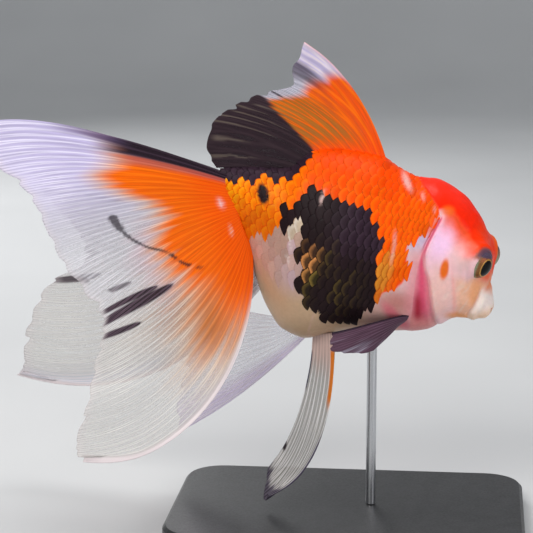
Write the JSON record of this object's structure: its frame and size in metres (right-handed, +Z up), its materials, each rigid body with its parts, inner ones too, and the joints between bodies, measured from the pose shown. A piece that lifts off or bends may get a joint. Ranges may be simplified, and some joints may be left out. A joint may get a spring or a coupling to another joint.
{
  "type": "fancy goldfish display model",
  "caption": "Life-size still model of a long-finned fancy goldfish, nose tipped down, on a flat base with one rod.",
  "frame": {"origin": "middle of the underside of the stand's base", "axes": "+X the way the fish faces, +Y its left side, +Z up; the fish is tipped nose down about +Y and curved to its right"},
  "size_m": [0.1689, 0.0822, 0.149],
  "materials": {
    "skin_pearl": "pearly white and pink scaleless skin, wet gloss",
    "skin_red": "smooth fleshy orange-red hood, wet gloss",
    "skin_orange": "orange scales with black, bronze and silver-white patches, glossy and slightly iridescent",
    "eye": "clear wet gloss over a brown iris with a gold ring and a black pupil",
    "fin_orange": "thin translucent membrane with orange and black rays",
    "fin_veil": "thin translucent milky membrane with fine white rays, orange at the tail root",
    "fin_dusk": "thin dark purple-grey membrane with lighter rays",
    "stand_base": "satin black",
    "stand_rod": "fine brushed"
  },
  "bodies": {
    "root": {"head": "skin_pearl", "gill_cover_right": "skin_pearl", "gill_cover_left": "skin_pearl", "hood": "skin_red", "trunk": "skin_orange", "tail_stem": "skin_orange", "eye_right": "eye", "eye_left": "eye", "dorsal_fin": "fin_orange", "tail_fin_right": "fin_veil", "tail_fin_left": "fin_veil", "pelvic_fin_right": "fin_veil", "pelvic_fin_left": "fin_veil", "pectoral_fin_right": "fin_dusk", "pectoral_fin_left": "fin_dusk", "anal_fin_right": "fin_veil", "anal_fin_left": "fin_veil", "stand_base": "stand_base", "stand_rod": "stand_rod"}
  },
  "joints": []
}
